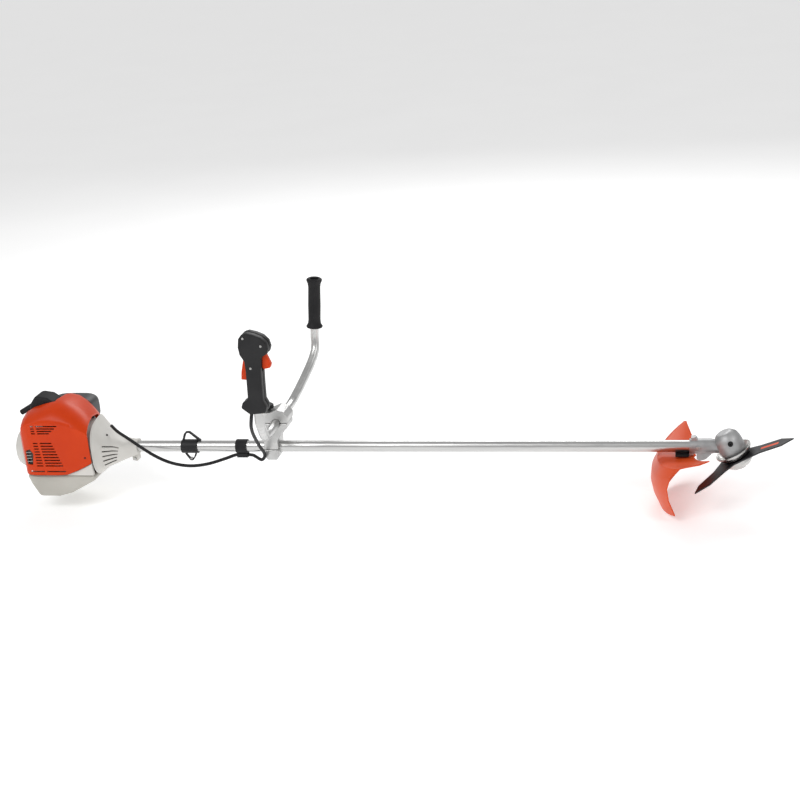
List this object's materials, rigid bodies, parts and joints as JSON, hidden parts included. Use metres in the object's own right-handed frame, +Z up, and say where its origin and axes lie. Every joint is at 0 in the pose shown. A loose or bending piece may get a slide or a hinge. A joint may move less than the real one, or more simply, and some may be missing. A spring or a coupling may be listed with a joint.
{
  "type": "brush cutter",
  "caption": "Petrol brush cutter: engine at one end of a straight tube, bike handlebar with throttle grip, gear head, deflector and thicket knife.",
  "frame": {"origin": "inside top of the carrying eye, where the harness hook lifts the machine", "axes": "+X along the drive tube from the engine to the gear head, +Y to the operator's left, +Z up"},
  "size_m": [1.9158, 0.5485, 0.5198],
  "materials": {
    "orange": "moulded orange plastic, semi-gloss",
    "orange_clear": "moulded orange-red guard plastic, semi-gloss",
    "white": "light warm grey plastic, satin",
    "grey": "dark grey plastic, satin",
    "black": "black plastic, fine grain",
    "rubber": "black rubber, matt",
    "clear_rubber": "smoky soft rubber",
    "felt": "cream filter felt",
    "aluminium": "drawn tube, brushed along its length",
    "clamp": "die cast, light silver paint",
    "cast": "cast, lightly blasted",
    "bright": "turned and polished",
    "steel": "plain machined steel",
    "hot_steel": "heat-tinted sheet",
    "knife": "black coated steel"
  },
  "bodies": {
    "frame": {"air_filter": "felt", "cable_clip": "rubber", "carburettor": "cast", "carrying_eye": "black", "carrying_eye_screw": "steel", "control_cable": "rubber", "crankcase": "cast", "cylinder": "cast", "deflector": "orange_clear", "deflector_strap": "black", "drive_tube": "aluminium", "engine_hood": "orange", "fan_housing": "white", "fan_housing_rear": "white", "filter_cover": "grey", "fuel_tank": "white", "gear_housing": "cast", "grease_plug": "black", "handle_bracket": "clamp", "handle_clamp_cap": "clamp", "ignition_module": "black", "input_bearing": "steel", "muffler": "hot_steel", "output_bearing": "steel", "shaft_bush_front": "black", "shaft_bush_middle": "black", "shaft_bush_rear": "black", "spark_plug": "steel", "spark_plug_boot": "rubber", "starter_housing": "white", "tube_clamp_foot": "clamp", "tube_clamp_screw": "steel"},
    "handlebar_body": {"handlebar": "aluminium", "left_grip": "rubber", "control_handle_left": "black", "control_handle_right": "black"},
    "trigger": {"throttle_trigger": "orange"},
    "lockout": {"throttle_lockout": "orange"},
    "stop": {"stop_slide": "orange"},
    "knife": {"output_shaft": "steel", "crown_gear": "steel", "thrust_plate": "bright", "cutting_knife": "knife", "rider_plate": "bright", "knife_nut": "steel"},
    "driveline": {"drive_shaft": "steel", "pinion_gear": "steel", "clutch_drum": "steel"},
    "crank": {"crankshaft": "steel", "flywheel": "cast", "clutch_shoes": "cast"},
    "pulley": {"starter_pulley": "black"},
    "grip": {"starter_grip": "black"},
    "lever": {"throttle_lever": "steel"},
    "choke": {"choke_lever": "black"},
    "cap": {"fuel_cap": "black"},
    "cover_knob": {"filter_cover_knob": "black"},
    "bar_knob": {"clamp_knob": "black"},
    "primer": {"primer_bulb": "clear_rubber"}
  },
  "joints": [
    {"name": "handlebar_tilt", "type": "hinge", "parent": "frame", "child": "handlebar_body", "pos_m": [0.238, 0, 0.034], "axis": [0, 1, 0], "range_deg": [-15, 15], "deforming": ["control_cable"]},
    {"name": "trigger_pull", "type": "hinge", "parent": "handlebar_body", "child": "trigger", "pos_m": [0.306, -0.255, 0.287], "axis": [0, 1, 0], "range_deg": [0, 16], "stiffness_Nm_per_rad": 0.12, "springref_deg": -14.32},
    {"name": "lockout_press", "type": "hinge", "parent": "handlebar_body", "child": "lockout", "pos_m": [0.264, -0.255, 0.275], "axis": [0, -1, 0], "range_deg": [0, 7], "stiffness_Nm_per_rad": 0.12, "springref_deg": -11.46},
    {"name": "stop_slide_up", "type": "slide", "parent": "handlebar_body", "child": "stop", "axis": [0, 0, 1], "range_m": [0, 0.008]},
    {"name": "knife_spin", "type": "hinge", "parent": "frame", "child": "knife", "pos_m": [1.315, 0, -0.036], "axis": [0.4695, 0, -0.8829], "continuous": true},
    {"name": "shaft_spin", "type": "hinge", "parent": "frame", "child": "driveline", "pos_m": [0.5, 0, -0.036], "axis": [1, 0, 0], "continuous": true},
    {"name": "crank_spin", "type": "hinge", "parent": "frame", "child": "crank", "pos_m": [-0.35, 0, -0.036], "axis": [1, 0, 0], "continuous": true},
    {"name": "pulley_turn", "type": "hinge", "parent": "frame", "child": "pulley", "pos_m": [-0.447, 0, -0.036], "axis": [1, 0, 0], "range_deg": [0, 1260]},
    {"name": "starter_pull", "type": "slide", "parent": "frame", "child": "grip", "axis": [0, 1, 0], "range_m": [0, 0.682]},
    {"name": "carburettor_throttle", "type": "hinge", "parent": "frame", "child": "lever", "pos_m": [-0.35, 0.073, 0.028], "axis": [-1, 0, 0], "range_deg": [0, 55]},
    {"name": "choke_turn", "type": "hinge", "parent": "frame", "child": "choke", "pos_m": [-0.3996, 0.074, 0.026], "axis": [1, 0, 0], "range_deg": [0, 60]},
    {"name": "fuel_cap_turn", "type": "hinge", "parent": "frame", "child": "cap", "pos_m": [-0.352, 0.086, -0.108], "axis": [0, 1, 0], "range_deg": [0, 90]},
    {"name": "cover_knob_turn", "type": "hinge", "parent": "frame", "child": "cover_knob", "pos_m": [-0.337, 0.112, 0.039], "axis": [0, 1, 0], "continuous": true},
    {"name": "bar_knob_turn", "type": "hinge", "parent": "frame", "child": "bar_knob", "pos_m": [0.216, 0, 0.061], "axis": [0, 0, 1], "continuous": true},
    {"name": "primer_press", "type": "slide", "parent": "frame", "child": "primer", "axis": [0, -1, 0], "range_m": [0, 0.004], "stiffness_N_per_m": 300}
  ],
  "couplings": [
    {"joint": "shaft_spin", "follows": "knife_spin", "ratio": 1.4},
    {"joint": "starter_pull", "follows": "pulley_turn", "m_per_rad": 0.031},
    {"joint": "carburettor_throttle", "follows": "trigger_pull", "ratio": 3.4}
  ]
}
